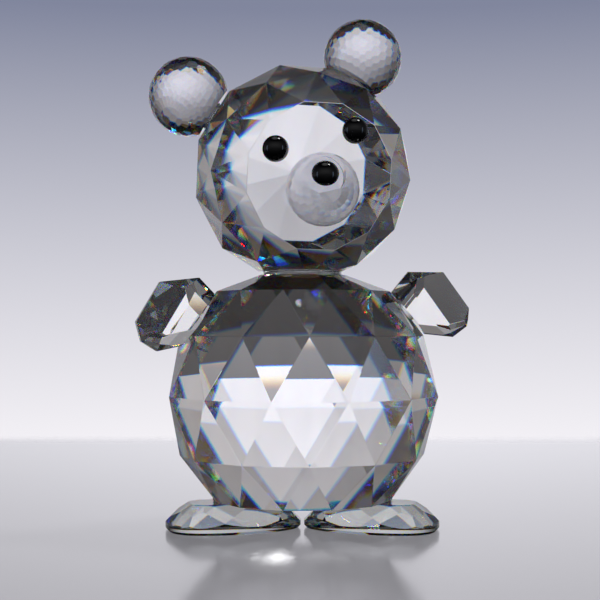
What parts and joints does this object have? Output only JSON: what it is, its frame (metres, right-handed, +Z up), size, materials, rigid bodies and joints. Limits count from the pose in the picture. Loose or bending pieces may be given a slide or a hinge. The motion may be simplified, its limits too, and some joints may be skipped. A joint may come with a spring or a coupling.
{
  "type": "bear figurine",
  "caption": "Bear figurine of faceted clear crystal stones bonded at ground flats: ball body, tilted ball head, ball ears and muzzle, arm and foot stones, black glass eyes and nose.",
  "frame": {"origin": "bottom centre of the figurine's box, on the surface that it stands on", "axes": "+Z up, along its height; the bear looks along -Y; +X to a viewer's right"},
  "size_m": [0.0728, 0.0606, 0.1133],
  "materials": {
    "crystal_body": "polished flat facets, lead crystal",
    "crystal_head": "polished flat facets, lead crystal",
    "crystal_honeycomb": "polished honeycomb facets, lead crystal",
    "crystal_arm": "polished table and crown facets, lead crystal",
    "crystal_foot": "polished crown facets over a smooth girdle, lead crystal",
    "black_cabochon": "opaque black glass, fire polished",
    "clear_adhesive": "clear cured resin"
  },
  "bodies": {
    "root": {"body_ball": "crystal_body", "head_ball": "crystal_head", "left_ear": "crystal_honeycomb", "right_ear": "crystal_honeycomb", "muzzle": "crystal_honeycomb", "nose": "black_cabochon", "left_eye": "black_cabochon", "right_eye": "black_cabochon", "left_arm": "crystal_arm", "right_arm": "crystal_arm", "left_foot": "crystal_foot", "right_foot": "crystal_foot", "neck_bond": "clear_adhesive", "left_ear_bond": "clear_adhesive", "right_ear_bond": "clear_adhesive", "muzzle_bond": "clear_adhesive", "nose_bond": "clear_adhesive", "left_eye_bond": "clear_adhesive", "right_eye_bond": "clear_adhesive", "left_arm_bond": "clear_adhesive", "right_arm_bond": "clear_adhesive", "left_foot_bond": "clear_adhesive", "right_foot_bond": "clear_adhesive"}
  },
  "joints": []
}
